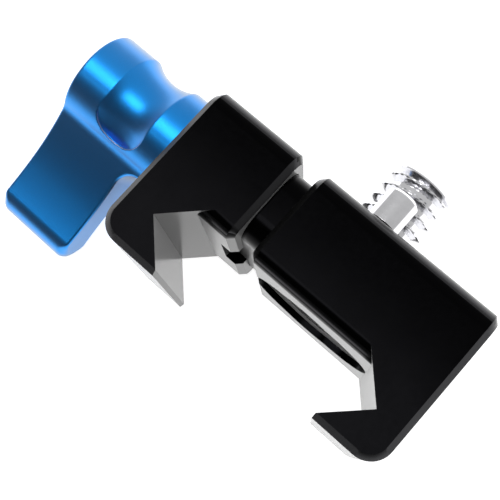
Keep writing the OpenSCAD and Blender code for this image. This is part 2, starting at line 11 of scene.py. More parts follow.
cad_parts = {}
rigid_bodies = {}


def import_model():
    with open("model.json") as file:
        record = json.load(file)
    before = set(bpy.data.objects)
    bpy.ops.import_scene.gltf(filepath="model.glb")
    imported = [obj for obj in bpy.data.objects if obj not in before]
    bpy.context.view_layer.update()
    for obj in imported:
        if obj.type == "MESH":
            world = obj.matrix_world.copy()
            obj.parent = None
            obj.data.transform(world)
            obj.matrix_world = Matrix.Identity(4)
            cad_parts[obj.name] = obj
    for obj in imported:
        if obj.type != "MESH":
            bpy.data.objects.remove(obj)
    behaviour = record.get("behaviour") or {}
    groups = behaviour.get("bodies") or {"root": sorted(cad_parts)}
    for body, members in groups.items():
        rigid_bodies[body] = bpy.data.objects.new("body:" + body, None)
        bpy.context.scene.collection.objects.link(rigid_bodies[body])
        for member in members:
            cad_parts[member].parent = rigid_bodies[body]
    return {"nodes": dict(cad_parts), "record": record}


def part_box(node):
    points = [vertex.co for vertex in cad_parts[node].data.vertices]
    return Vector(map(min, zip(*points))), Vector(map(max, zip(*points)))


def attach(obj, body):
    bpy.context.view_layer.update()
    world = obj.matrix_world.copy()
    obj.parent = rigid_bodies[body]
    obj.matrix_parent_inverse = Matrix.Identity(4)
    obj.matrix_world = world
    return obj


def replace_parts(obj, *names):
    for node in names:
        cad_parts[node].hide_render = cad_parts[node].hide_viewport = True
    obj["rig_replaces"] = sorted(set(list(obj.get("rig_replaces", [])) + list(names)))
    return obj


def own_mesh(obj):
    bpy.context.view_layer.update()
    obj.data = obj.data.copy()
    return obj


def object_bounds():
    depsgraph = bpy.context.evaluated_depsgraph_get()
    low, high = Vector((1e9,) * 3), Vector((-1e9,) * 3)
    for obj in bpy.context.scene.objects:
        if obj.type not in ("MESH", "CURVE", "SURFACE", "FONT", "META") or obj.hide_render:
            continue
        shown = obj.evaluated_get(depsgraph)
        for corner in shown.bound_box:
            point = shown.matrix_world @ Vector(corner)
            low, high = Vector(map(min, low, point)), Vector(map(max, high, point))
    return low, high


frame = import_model()
CAD_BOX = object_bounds()

bl_info = {
    "name": "Rail clamp",
    "version": (1, 0, 0),
    "blender": (4, 5, 0),
    "location": "View3D > Sidebar > Rail clamp",
    "description": "Finishes, eased edges, threads and springs of a small rail clamp with a thumb lever",
    "category": "Object",
}

MM = 0.001
SHARP_EDGE = 28  # degrees between two faces from which their edge is eased
BODY_OF = {n: b for b, nodes in frame["record"]["behaviour"]["bodies"].items() for n in nodes}
SLOT_OF = {s["node"]: s["material_slot"] for s in frame["record"]["subparts"]}


def clamp_origin():
    """The screw's axis in the plane of the moving jaw's outer end face."""
    lo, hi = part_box("clamp_screw")
    return Vector((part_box("moving_jaw")[0].x, (lo.y + hi.y) / 2, (lo.z + hi.z) / 2))


ORIGIN = clamp_origin()


def at(x, y, z):
    """A point in the frame of the part, from one in millimetres from the clamp's origin."""
    return ORIGIN + Vector((x, y, z)) * MM


# ---- settings ----


class FinishSettings(bpy.types.PropertyGroup):
    """Colours and gloss of the clamp's finishes."""

    jaw_black: FloatVectorProperty(
        name="Jaw black", description="Colour of the black anodised jaws and post", subtype="COLOR",
        size=3, min=0, max=1, default=(0.0022, 0.0022, 0.0025))
    # Painted reflection: the lighter black that the jaws' slanting chamfer faces get, standing in for the light
    # they reflect.
    chamfer_reflection_black: FloatVectorProperty(
        name="Chamfer black", description="Colour of the burnished chamfers of the jaws", subtype="COLOR",
        size=3, min=0, max=1, default=(0.035, 0.035, 0.037))
    jaw_roughness: FloatProperty(
        name="Jaw roughness", description="Roughness of the black anodised surfaces", subtype="FACTOR",
        min=0, max=1, default=0.2)
    lever_blue: FloatVectorProperty(
        name="Lever blue", description="Colour of the blue anodised lever", subtype="COLOR",
        size=3, min=0, max=1, default=(0.007, 0.28, 0.8))
    lever_roughness: FloatProperty(
        name="Lever roughness", description="Roughness of the blasted, anodised lever", subtype="FACTOR",
        min=0, max=1, default=0.34)
    grain: FloatProperty(
        name="Blasting grain", description="Size of one grain of the blasted surfaces, in millimetres",
        min=0.01, max=0.5, default=0.06)
    edge_ease: FloatProperty(
        name="Edge easing", description="Width of the eased edges of turned and milled pieces, in millimetres",
        min=0.01, max=0.3, default=0.07)


class LeverSettings(bpy.types.PropertyGroup):
    """Sizes of the thumb lever, in millimetres and degrees."""

    angle: FloatProperty(name="Angle", description="Angle at which the lever stands about the screw, in degrees",
                         default=16)
    hub_r: FloatProperty(name="Hub radius", description="Radius of the lever's hub", default=4.75)
    swell: FloatProperty(name="Hub swell", description="How far the hub swells towards the blade", default=0.3)
    length: FloatProperty(name="Length", description="Jaw to the lever's outer face", default=12.67)
    reach: FloatProperty(name="Blade reach", description="Screw axis to the blade's tip", default=16.1)
    half_t: FloatProperty(name="Half thickness", description="Half the thickness of the blade", default=1.76)
    neck_angle: FloatProperty(name="Neck angle", default=44,
                              description="Place round the hub where the neck leaves it, in degrees")
    flare_r: FloatProperty(name="Flare radius", description="Radius of the long hollow along the blade",
                           default=20)
    flare_angle: FloatProperty(name="Flare angle", description="Slope where the two hollows meet, in degrees",
                               default=18)
    tip_flare_r: FloatProperty(name="Tip flare radius", description="Radius of the hollow on to the tip",
                               default=35)
    blade_gap: FloatProperty(name="Blade gap", description="Jaw to the blade's inner face", default=4.13)
    relief_r: FloatProperty(name="Relief radius", description="Hollow between the blade and the collar",
                            default=1.8)
    edge_r: FloatProperty(name="Edge round", description="Radius of the lever's edges", default=0.3)
    corner_r: FloatProperty(name="Corner round", description="Radius of the blade's corners", default=0.95)
    waist_r: FloatProperty(name="Waist radius", description="Smallest radius of the waist", default=3.95)
    waist_l: FloatProperty(name="Waist length", description="Length of the waist", default=5.25)
    collar: FloatProperty(name="Collar length", description="Length of the collar beside the jaw", default=3.7)
    waist_end: FloatProperty(name="Waist end", description="Screw axis to the waist's end wall, along the blade",
                             default=3.5)
    waist_slant: FloatProperty(name="Waist slant", default=67,
                               description="Place round the hub where the waist's floor runs flat, in degrees")
    bore_r: FloatProperty(name="Bore radius", description="Radius of the bore", default=3.46)
    cell: FloatProperty(name="Mesh cell", description="Size of one mesh cell", min=0.1, max=0.5, default=0.12)


class ThreadSettings(bpy.types.PropertyGroup):
    """Sizes of the threads and springs, in millimetres."""

    stud_pitch: FloatProperty(name="Stud pitch", description="Pitch of the stud's thread", min=0.5, max=2,
                              default=1.27)
    stud_root_r: FloatProperty(name="Stud root radius", description="Radius of the stud's thread at its root",
                               min=2, max=3, default=2.36)
    screw_pitch: FloatProperty(name="Screw pitch", description="Pitch of the clamp screw's thread", min=0.3, max=1,
                               default=0.7)
    steps: IntProperty(name="Steps a turn", description="Steps in one turn of a thread", min=24, max=240,
                       default=120)
    jaw_wire: FloatProperty(name="Jaw spring wire", description="Wire of the jaw springs", min=0.2, max=0.5,
                            default=0.34)
    lever_wire: FloatProperty(name="Lever spring wire", description="Wire of the lever spring", min=0.2, max=0.5,
                              default=0.34)


# ---- finishes ----


class Finish:
    """One procedural material, with the few nodes that the clamp's finishes share."""

    def __init__(self, name):
        self.material = bpy.data.materials.new(name)
        self.material.use_nodes = True
        self.nodes = self.material.node_tree.nodes
        self.links = self.material.node_tree.links
        self.shader = self.nodes["Principled BSDF"]
        self.place = self.nodes.new("ShaderNodeTexCoord").outputs["Object"]

    def set(self, **values):
        for name, value in values.items():
            self.shader.inputs[name.replace("_", " ")].default_value = value
        return self

    def stretched(self, scale):
        mapping = self.nodes.new("ShaderNodeMapping")
        mapping.inputs["Scale"].default_value = scale
        self.links.new(self.place, mapping.inputs["Vector"])
        return mapping.outputs["Vector"]

    def noise(self, size_mm, detail=2.0, stretch=(1, 1, 1)):
        node = self.nodes.new("ShaderNodeTexNoise")
        node.inputs["Scale"].default_value = 1 / (size_mm * MM)
        node.inputs["Detail"].default_value = detail
        self.links.new(self.stretched(stretch), node.inputs["Vector"])
        return node.outputs["Fac"]

    def span(self, value, low, high, start=0.3, end=0.7):
        node = self.nodes.new("ShaderNodeMapRange")
        for name, number in (("From Min", start), ("From Max", end), ("To Min", low), ("To Max", high)):
            node.inputs[name].default_value = number
        self.links.new(value, node.inputs["Value"])
        return node.outputs["Result"]

    def tint(self, value, low, high):
        node = self.nodes.new("ShaderNodeMix")
        node.data_type = "RGBA"
        node.inputs["A"].default_value = (*low, 1)
        node.inputs["B"].default_value = (*high, 1)
        self.links.new(value, node.inputs["Factor"])
        self.links.new(node.outputs["Result"], self.shader.inputs["Base Color"])
        return self

    def rough(self, value, low, high):
        self.links.new(self.span(value, low, high), self.shader.inputs["Roughness"])
        return self

    def bump(self, value, depth_mm, strength=1.0):
        node = self.nodes.new("ShaderNodeBump")
        node.inputs["Strength"].default_value = strength
        node.inputs["Distance"].default_value = depth_mm * MM
        self.links.new(value, node.inputs["Height"])
        if self.shader.inputs["Normal"].is_linked:
            self.links.new(self.shader.inputs["Normal"].links[0].from_socket, node.inputs["Normal"])
        self.links.new(node.outputs["Normal"], self.shader.inputs["Normal"])
        return self


def shade(colour, factor):
    return tuple(min(c * factor, 1) for c in colour)


def anodised_black(s, name="black_anodised", colour=None):
    colour = colour or s.jaw_black
    f = Finish(name)
    f.set(Metallic=1.0, Sheen_Weight=0.6, Sheen_Roughness=0.3)
    f.tint(f.noise(2.5, 3), shade(colour, 0.85), shade(colour, 1.2))
    f.rough(f.noise(0.5, 4), s.jaw_roughness - 0.03, s.jaw_roughness + 0.03)
    f.bump(f.noise(s.grain, 2), 0.0006)
    return f.material


def anodised_blue(s):
    f = Finish("blue_anodised")
    f.set(Metallic=1.0, Specular_Tint=(1, 0.8, 0.5, 1), Coat_Weight=0.8, Coat_IOR=1.2, Coat_Roughness=0.3,
          Sheen_Weight=0.9, Sheen_Roughness=0.45)
    f.tint(f.noise(0.09, 3), shade(s.lever_blue, 0.9), shade(s.lever_blue, 1.08))
    f.rough(f.noise(0.12, 3), s.lever_roughness - 0.04, s.lever_roughness + 0.04)
    f.bump(f.noise(s.grain, 2), 0.0012)
    return f.material


def bright_steel(s):
    f = Finish("bright_steel")
    f.set(Metallic=1.0)
    f.tint(f.noise(0.6, 3), (0.72, 0.72, 0.74), (0.84, 0.84, 0.86))
    f.rough(f.noise(0.25, 3), 0.1, 0.17)
    f.bump(f.noise(0.05, 1, (0.05, 1, 0.05)), 0.0008)
    return f.material


def machined_steel(s):
    f = Finish("machined_steel")
    f.set(Metallic=1.0)
    f.tint(f.noise(0.4, 3), (0.5, 0.51, 0.53), (0.62, 0.63, 0.65))
    f.rough(f.noise(0.2, 3), 0.22, 0.32)
    f.bump(f.noise(0.05, 1, (1, 0.05, 0.05)), 0.001)
    return f.material


def blackened_steel(s):
    f = Finish("blackened_steel")
    f.set(Metallic=1.0)
    f.tint(f.noise(0.3, 3), (0.045, 0.045, 0.05), (0.09, 0.09, 0.095))
    f.rough(f.noise(0.2, 3), 0.3, 0.42)
    f.bump(f.noise(0.08, 2), 0.001)
    return f.material


def turned_bronze(s):
    f = Finish("turned_bronze")
    f.set(Metallic=1.0)
    f.tint(f.noise(0.4, 3), (0.5, 0.31, 0.13), (0.62, 0.41, 0.19))
    f.rough(f.noise(0.2, 3), 0.25, 0.36)
    f.bump(f.noise(0.05, 1, (1, 0.05, 0.05)), 0.001)
    return f.material


FINISHES = {
    "black_aluminium": anodised_black,
    "blue_aluminium": anodised_blue,
    "bright_steel": bright_steel,
    "steel": machined_steel,
    "dark_steel": blackened_steel,
    "bronze": turned_bronze,
}
_made = {}


def finish_for(slot):
    """The material of a record slot, made once."""
    if slot not in _made:
        _made[slot] = FINISHES[slot](bpy.context.scene.clamp_finish)
    return _made[slot]


def paint_chamfer_reflection(mesh):
    """Paints a reflection on the slanting chamfer faces round a jaw's sides: their own, lighter black, picked by
    how far each face slants.
    """
    s = bpy.context.scene.clamp_finish
    if "chamfer" not in _made:
        _made["chamfer"] = anodised_black(s, "black_anodised_chamfer_painted_reflection", tuple(s.chamfer_reflection_black))
    mesh.materials.append(_made["chamfer"])
    # Painted reflection: faces slanting about 32 to 57 degrees from the Z axis get the lighter black.
    for face in mesh.polygons:
        if 0.55 < abs(face.normal.z) < 0.85:
            face.material_index = 1


# ---- meshes ----


def add_piece(name, mesh, node, smooth=True):
    """Puts a mesh in the scene in place of a CAD node, with that node's body and finish."""
    mesh.materials.clear()
    mesh.materials.append(finish_for(SLOT_OF[node]))
    if smooth:
        mesh.shade_smooth()
    piece = bpy.data.objects.new(name, mesh)
    bpy.context.scene.collection.objects.link(piece)
    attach(piece, BODY_OF[node])
    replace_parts(piece, node)
    return piece


def whole_copy(node):
    """A merged copy of a CAD node's mesh whose flat faces are whole again."""
    mesh = frame["nodes"][node].data.copy()
    shell = bmesh.new()
    shell.from_mesh(mesh)
    bmesh.ops.remove_doubles(shell, verts=shell.verts, dist=1e-7)
    bmesh.ops.dissolve_limit(shell, angle_limit=math.radians(0.4), verts=shell.verts, edges=shell.edges)
    shell.to_mesh(mesh)
    shell.free()
    return mesh


def baked(mesh, build):
    """The mesh with a modifier stack applied; build adds the modifiers to a short-lived object."""
    carrier = bpy.data.objects.new("carrier", mesh)
    bpy.context.scene.collection.objects.link(carrier)
    build(carrier)
    graph = bpy.context.evaluated_depsgraph_get()
    result = bpy.data.meshes.new_from_object(carrier.evaluated_get(graph))
    bpy.data.objects.remove(carrier)
    return result


def eased(node, width_mm, segments=3):
    """A copy of a CAD node with its sharp edges eased and its broad faces shaded flat."""

    def build(carrier):
        carrier.data.shade_smooth()
        bevel = carrier.modifiers.new("ease", "BEVEL")
        bevel.width = width_mm * MM
        bevel.segments = segments
        bevel.limit_method = "ANGLE"
        bevel.angle_limit = math.radians(SHARP_EDGE)
        bevel.miter_outer = "MITER_ARC"
        even = carrier.modifiers.new("even", "WEIGHTED_NORMAL")
        even.weight = 100
        even.keep_sharp = True

    return baked(whole_copy(node), build)


def turned(rings, steps, axis="X", centre=(0, 0)):
    """A closed shell of rings (place, radius or radii) along an axis, its first and last ring closed by a fan."""
    angle = np.arange(steps) * 2 * np.pi / steps
    points = []
    for place, radii in rings:
        across, up = radii * np.cos(angle) + centre[0], radii * np.sin(angle) + centre[1]
        along = np.full(steps, place)
        points.append(np.stack([along, across, up] if axis == "X" else [up, along, across], 1))
    points = np.concatenate(points + [points[0].mean(0)[None], points[-1].mean(0)[None]])
    first, last = len(points) - 2, len(points) - 1
    faces = []
    for r in range(len(rings) - 1):
        a, b = r * steps, (r + 1) * steps
        faces += [(a + k, a + (k + 1) % steps, b + (k + 1) % steps, b + k) for k in range(steps)]
    end = (len(rings) - 1) * steps
    faces += [((k + 1) % steps, k, first) for k in range(steps)]
    faces += [(end + k, end + (k + 1) % steps, last) for k in range(steps)]
    mesh = bpy.data.meshes.new("turned")
    mesh.from_pydata([tuple(at(*p)) for p in points], [], faces)
    shell = bmesh.new()
    shell.from_mesh(mesh)
    bmesh.ops.recalc_face_normals(shell, faces=shell.faces)
    shell.to_mesh(mesh)
    shell.free()
    mesh.shade_smooth()
    mesh.set_sharp_from_angle(angle=math.radians(32))
    return mesh


def hexagon(flats, steps):
    """Radii of a hexagonal socket, measured across its flats."""
    angle = np.arange(steps) * 360 / steps
    return flats / 2 / np.cos(np.radians((angle + 30) % 60 - 30))


RINGS_A_PITCH = 26
CREST_FLAT, FLANK = 0.12, 0.5  # shares of half a pitch
RIM_RISE = 0.3


def threaded(start, end, crest_r, root_r, pitch, steps, end_r, lead=0.0, rim=0.0):
    """Rings of a right-hand thread whose far end is chamfered to end_r.

    lead fades the near end in, and rim is the length of a full crest all round the far end.
    """
    angle = np.arange(steps) / steps
    rings = []
    for place in np.linspace(start, end, max(2, int((end - start) / pitch * RINGS_A_PITCH))):
        off = np.abs((place / pitch - angle) % 1 - 0.5) * 2
        depth = np.clip((off - CREST_FLAT) / FLANK, 0, 1)
        rise = min(1.0, (place - start) / lead) if lead else 1.0
        full = np.clip((place - end + rim) / RIM_RISE, 0, 1) if rim else 0
        radii = root_r + (crest_r - root_r) * np.maximum((1 - depth) * rise, full)
        rings.append((place, np.minimum(radii, end_r + (end - place))))
    return rings


def coil_tree():
    """Geometry Nodes for a coil spring along Z: a spiral whose end turns lie close, swept with a round wire."""
    tree = bpy.data.node_groups.new("coil_spring", "GeometryNodeTree")
    for name, kind in (("Turns", "NodeSocketFloat"), ("Radius", "NodeSocketFloat"), ("Length", "NodeSocketFloat"),
                       ("Wire radius", "NodeSocketFloat"), ("Finish", "NodeSocketMaterial")):
        tree.interface.new_socket(name, in_out="INPUT", socket_type=kind)
    tree.interface.new_socket("Geometry", in_out="OUTPUT", socket_type="NodeSocketGeometry")
    new, link = tree.nodes.new, tree.links.new
    given, out = new("NodeGroupInput"), new("NodeGroupOutput")
    spiral = new("GeometryNodeCurveSpiral")
    spiral.inputs["Resolution"].default_value = 32
    link(given.outputs["Turns"], spiral.inputs["Rotations"])
    link(given.outputs["Radius"], spiral.inputs["Start Radius"])
    link(given.outputs["Radius"], spiral.inputs["End Radius"])
    spiral.inputs["Height"].default_value = 0
    along = new("GeometryNodeSplineParameter")
    pitch = new("ShaderNodeFloatCurve")
    points = pitch.mapping.curves[0].points
    points[0].location, points[1].location = (0, 0), (1, 1)
    points.new(0.14, 0.045)
    points.new(0.86, 0.955)
    pitch.mapping.update()
    link(along.outputs["Factor"], pitch.inputs["Value"])
    rise = new("ShaderNodeMath")
    rise.operation = "MULTIPLY"
    link(pitch.outputs["Value"], rise.inputs[0])
    link(given.outputs["Length"], rise.inputs[1])
    offset = new("ShaderNodeCombineXYZ")
    link(rise.outputs[0], offset.inputs["Z"])
    moved = new("GeometryNodeSetPosition")
    link(spiral.outputs["Curve"], moved.inputs["Geometry"])
    link(offset.outputs[0], moved.inputs["Offset"])
    round_wire = new("GeometryNodeCurvePrimitiveCircle")
    round_wire.inputs["Resolution"].default_value = 12
    link(given.outputs["Wire radius"], round_wire.inputs["Radius"])
    swept = new("GeometryNodeCurveToMesh")
    swept.inputs["Fill Caps"].default_value = True
    link(moved.outputs["Geometry"], swept.inputs["Curve"])
    link(round_wire.outputs["Curve"], swept.inputs["Profile Curve"])
    real = new("GeometryNodeRealizeInstances")
    link(swept.outputs["Mesh"], real.inputs["Geometry"])
    finish = new("GeometryNodeSetMaterial")
    link(real.outputs["Geometry"], finish.inputs["Geometry"])
    link(given.outputs["Finish"], finish.inputs["Material"])
    link(finish.outputs["Geometry"], out.inputs["Geometry"])
    return tree


def grown(tree, **values):
    """A plain mesh made by a node tree from its named inputs."""

    def build(carrier):
        modifier = carrier.modifiers.new("grow", "NODES")
        modifier.node_group = tree
        for item in tree.interface.items_tree:
            if item.in_out == "INPUT" and item.name in values:
                modifier[item.identifier] = values[item.name]

    return baked(bpy.data.meshes.new("seed"), build)


def coil(node, turns, wire_mm, tree):
    """A coil spring in the space of a CAD spring, which lies along X."""
    lo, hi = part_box(node)
    wire = wire_mm * MM
    mesh = grown(tree, Turns=turns, Radius=(hi.y - lo.y - wire) / 2, Length=hi.x - lo.x - wire,
                 Finish=finish_for(SLOT_OF[node]), **{"Wire radius": wire / 2})
    place = Matrix.Translation((lo.x + wire / 2, (lo.y + hi.y) / 2, (lo.z + hi.z) / 2))
    mesh.transform(place @ Matrix.Rotation(math.radians(90), 4, "Y"))
    return add_piece(node + "_coil", mesh, node)


# ---- the lever's form, as a distance in millimetres that is negative inside ----


def meet(a, b, r):
    """What two solids share, its edge rounded to r."""
    return np.minimum(-r, np.maximum(a, b)) + np.hypot(np.maximum(r + a, 0), np.maximum(r + b, 0))


def join(a, b, r):
    """Two solids together, with a hollow of radius r between them."""
    return np.maximum(r, np.minimum(a, b)) - np.hypot(np.maximum(r - a, 0), np.maximum(r - b, 0))


def hub_and_blade(along, off, s):
    """The lever seen along the screw: a round hub, a tight and a long hollow, and a blade with a round end."""
    leave, flare = math.radians(s.neck_angle), math.radians(s.flare_angle)
    neck_r = (s.hub_r * math.sin(leave) - s.half_t - s.flare_r * (1 - math.cos(flare))) / (
        math.cos(flare) - math.sin(leave))
    neck_x, neck_y = s.swell + (s.hub_r + neck_r) * math.cos(leave), (s.hub_r + neck_r) * math.sin(leave)
    flare_x = neck_x + (s.flare_r - neck_r) * math.sin(flare)
    flare_y = s.half_t + s.flare_r
    hub = np.hypot(along - np.clip(along, 0, s.swell), off) - s.hub_r
    tight = neck_r - np.hypot(along - neck_x, off - neck_y)
    long = s.flare_r - np.hypot(along - flare_x, off - flare_y)
    nose_x = s.reach - NOSE_SHARE * s.half_t
    rise = math.asin((nose_x - flare_x) / s.tip_flare_r)
    nose_r = (s.half_t + s.tip_flare_r * (1 - math.cos(rise))) / math.cos(rise)
    nose_x += nose_r * math.sin(rise)
    tip = s.tip_flare_r - np.hypot(along - flare_x, off - s.half_t - s.tip_flare_r)
    past_tip = (along - nose_x) * math.cos(rise) + off * math.sin(rise) > 0
    blade = np.where(along < flare_x, long, np.where(past_tip, np.hypot(along - nose_x, off) - nose_r, tip))
    past_hub = (along - s.swell) * math.sin(leave) - off * math.cos(leave) > 0
    past_neck = (along - neck_x) * math.cos(flare) - (off - neck_y) * math.sin(flare) > 0
    return np.where(past_hub, np.where(past_neck, blade, tight), hub)


BOW_START = 1.0  # where the waist's end wall begins to bow, from the screw's axis
WALL_ROUND = 2.4  # power of the rounded rectangle that the end wall follows
WALL_SIDE = 0.15  # how far its sides stand outside the waist
NOSE_SHARE = 1.2  # the blade's round end starts this many half thicknesses before its tip


def waist_cut(x, along, off, s):
    """The hollow turned round the hub; towards the neck its floor runs out flat to a rounded end wall."""
    slant = math.radians(s.waist_slant)
    flat = along * math.cos(slant) + off * math.sin(slant)
    past = along * math.sin(slant) - off * math.cos(slant) > 0
    reach = np.where(past, flat, np.hypot(along, off))
    middle = x + s.collar + s.waist_l / 2
    depth = s.hub_r - s.waist_r
    deep = (s.waist_l ** 2 / 4 + depth ** 2) / (2 * depth)
    floor = np.hypot(reach - s.waist_r - deep, middle) - deep
    bow = s.waist_end - BOW_START
    ahead = (np.maximum(along - BOW_START, 0) / bow) ** WALL_ROUND
    beside = (np.abs(middle) / (s.waist_l / 2 + WALL_SIDE)) ** WALL_ROUND
    return meet(floor, ((ahead + beside) ** (1 / WALL_ROUND) - 1) * bow, 0.1)


def lever_form(points, s):
    x = points[:, 0]
    turn = math.radians(s.angle)
    along = -points[:, 1] * math.cos(turn) - points[:, 2] * math.sin(turn)
    off = np.abs(points[:, 2] * math.cos(turn) - points[:, 1] * math.sin(turn))
    inner = join(x + s.blade_gap, along - s.hub_r - 0.05, s.relief_r)
    fall = np.clip((along - s.reach + 2.0) / 1.2, 0, 1)
    edge = s.edge_r + (s.corner_r - s.edge_r) * fall * fall * (3 - 2 * fall)
    form = meet(meet(hub_and_blade(along, off, s), -x - s.length, edge), inner, edge)
    form = meet(form, x + 0.15, 0.2)
    form = meet(form, -waist_cut(x, along, off, s), 0.06)
    return meet(form, s.bore_r - np.hypot(along, off), 0.15)


def slope_of(form, points, step=0.004):
    """The direction in which a form's distance grows, at each point."""
    way = np.zeros_like(points)
    for k in range(3):
        shift = np.zeros(3)
        shift[k] = step
        way[:, k] = (form(points + shift) - form(points - shift)) / (2 * step)
    return way


def skin(form, low, high, cell):
    """A net of quads over the surface where a form's distance is zero."""
    axes = [np.arange(a, b + cell, cell) for a, b in zip(low, high)]
    grid = np.stack(np.meshgrid(*axes, indexing="ij"), -1)
    value = form(grid.reshape(-1, 3)).reshape(grid.shape[:3])
    inside = value < 0
    size = np.array(inside.shape) - 1

    def corner(array, shift):
        return array[tuple(slice(c, c + n) for c, n in zip(shift, size))]

    corners = [(a, b, c) for a in (0, 1) for b in (0, 1) for c in (0, 1)]
    filled = sum(corner(inside, c).astype(int) for c in corners)
    active = (filled > 0) & (filled < 8)
    number = np.full(size, -1)
    number[active] = np.arange(active.sum())
    total, hits = np.zeros((active.sum(), 3)), np.zeros(active.sum())
    for k in range(3):
        for c in corners:
            if c[k]:
                continue
            far = tuple(1 if i == k else n for i, n in enumerate(c))
            v0, v1 = corner(value, c)[active], corner(value, far)[active]
            cross = (v0 < 0) != (v1 < 0)
            share = np.where(cross, v0 / np.where(v0 == v1, 1, v0 - v1), 0)
            spot = np.stack([corner(grid[..., i], c)[active] for i in range(3)], 1)
            spot[:, k] += share * cell
            total += spot * cross[:, None]
            hits += cross
    points = total / hits[:, None]
    faces = []
    for k in range(3):
        u, v = (k + 1) % 3, (k + 2) % 3
        near = [slice(1, n) for n in size]
        near[k] = slice(0, size[k])
        ahead = list(near)
        ahead[k] = slice(1, size[k] + 1)
        a, b = inside[tuple(near)], inside[tuple(ahead)]

        def cell_at(du, dv):
            part = list(near)
            part[u] = slice(1 - du, size[u] - du)
            part[v] = slice(1 - dv, size[v] - dv)
            return number[tuple(part)]

        loop = np.stack([cell_at(1, 1), cell_at(0, 1), cell_at(0, 0), cell_at(1, 0)], -1)
        faces += [loop[a & ~b], loop[~a & b][:, ::-1]]
    return points, np.concatenate(faces)


def lever_mesh(s):
    """The lever's skin, drawn onto its true form, with normals from the form itself."""

    def form(points):
        return lever_form(points, s)

    turn = math.radians(s.angle)
    tip, room = s.reach - s.half_t, 0.4
    low = (-s.length - room, -tip * math.cos(turn) - s.half_t - room,
           min(-s.hub_r, -tip * math.sin(turn) - s.half_t) - room)
    high = (0.3, s.hub_r + room, s.hub_r + room)
    points, faces = skin(form, low, high, s.cell * (1))
    for _ in range(3):
        way = slope_of(form, points)
        points = points - way * (form(points) / np.maximum((way ** 2).sum(1), 0.2))[:, None]
    way = slope_of(form, points)
    way /= np.maximum(np.linalg.norm(way, axis=1), 1e-6)[:, None]
    mesh = bpy.data.meshes.new("thumb_lever_form")
    mesh.from_pydata([tuple(at(*p)) for p in points], [], faces.tolist())
    mesh.shade_smooth()
    mesh.normals_split_custom_set_from_vertices([tuple(w) for w in way])
    return mesh


# ---- operators ----


class CLAMP_OT_jaws(bpy.types.Operator):
    """Make the jaws and the guide post with eased edges"""

    bl_idname = "clamp.jaws"
    bl_label = "Jaws and post"

    def execute(self, context):
        ease = context.scene.clamp_finish.edge_ease
        for node in ("fixed_jaw", "moving_jaw", "guide_post"):
            piece = add_piece(node + "_eased", eased(node, ease), node, smooth=False)
            if node != "guide_post":
                # the chamfers' lighter black is a painted reflection
                paint_chamfer_reflection(piece.data)
        return {"FINISHED"}


class CLAMP_OT_lever(bpy.types.Operator):
    """Make the thumb lever"""

    bl_idname = "clamp.lever"
    bl_label = "Thumb lever"

    def execute(self, context):
        add_piece("thumb_lever_form", lever_mesh(context.scene.clamp_lever), "thumb_lever", smooth=False)
        return {"FINISHED"}


class CLAMP_OT_stud(bpy.types.Operator):
    """Make the mounting stud with its thread, shank and hexagon socket"""

    bl_idname = "clamp.stud"
    bl_label = "Mounting stud"

    def execute(self, context):
        s = context.scene.clamp_threads
        lo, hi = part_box("mounting_stud")
        foot, top = (lo.y - ORIGIN.y) / MM, (hi.y - ORIGIN.y) / MM
        seat = (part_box("fixed_jaw")[1].y - ORIGIN.y) / MM
        place = ((lo.x + hi.x) / 2 - ORIGIN.x) / MM
        radius = (hi.x - lo.x) / MM / 2
        socket, socket_depth = hexagon(3.2, s.steps), 2.5
        shank_r, foot_chamfer = 2.9, 0.3
        rings = [(foot + socket_depth, socket), (foot, socket), (foot, shank_r - foot_chamfer),
                 (foot + foot_chamfer, shank_r), (seat, shank_r), (seat + 0.01, s.stud_root_r)]
        rings += threaded(seat + 0.02, top, radius, s.stud_root_r, s.stud_pitch, s.steps, radius - 0.3, rim=0.75)
        add_piece("mounting_stud_threaded", turned(rings, s.steps, "Y", (0, place)), "mounting_stud", smooth=False)
        return {"FINISHED"}


class CLAMP_OT_screw(bpy.types.Operator):
    """Make the clamp screw with its thread, groove, flange and ratchet teeth"""

    bl_idname = "clamp.screw"
    bl_label = "Clamp screw"

    def execute(self, context):
        s = context.scene.clamp_threads
        lo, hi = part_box("clamp_screw")
        hub_x, tip = (lo.x - ORIGIN.x) / MM, (hi.x - ORIGIN.x) / MM
        turn = np.arange(s.steps) * 20 / s.steps % 1
        teeth = 2.28 + 0.32 * np.abs(turn - 0.5) * 2
        rings = [(-1.2, 1.26), (hub_x, 1.26), (hub_x, 2.15), (hub_x + 0.07, 2.22), (-3.1, 2.22), (-3.1, teeth),
                 (-1.2, teeth), (-1.2, 3.05), (-1.15, 3.1), (-0.55, 3.1), (-0.5, 3.05), (-0.5, 2.0), (2.43, 2.0),
                 (2.43, 1.6), (2.97, 1.6), (2.97, 1.62)]
        rings += threaded(2.98, tip, 2.0, 1.62, s.screw_pitch, s.steps, 1.5, lead=0.7)
        add_piece("clamp_screw_threaded", turned(rings, s.steps), "clamp_screw", smooth=False)
        return {"FINISHED"}


class CLAMP_OT_springs(bpy.types.Operator):
    """Make the two jaw springs and the lever's spring"""

    bl_idname = "clamp.springs"
    bl_label = "Springs"

    def execute(self, context):
        s = context.scene.clamp_threads
        tree = coil_tree()
        for node in ("jaw_spring_upper", "jaw_spring_lower"):
            spring = coil(node, 8.0, s.jaw_wire, tree)
            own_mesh(spring)
        spring = coil("lever_spring", 4.0, s.lever_wire, tree)
        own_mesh(spring)
        return {"FINISHED"}


class CLAMP_OT_small_parts(bpy.types.Operator):
    """Ease the edges of the pins, screws, washers, bush and sleeve"""

    bl_idname = "clamp.small_parts"
    bl_label = "Small parts"

    def execute(self, context):
        done = {n for o in bpy.data.objects for n in o.get("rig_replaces", [])}
        for node in sorted(set(frame["nodes"]) - done):
            width = 0.02 if node == "ratchet_sleeve" else 0.05
            add_piece(node + "_eased", eased(node, width, 2), node, smooth=False)
        return {"FINISHED"}


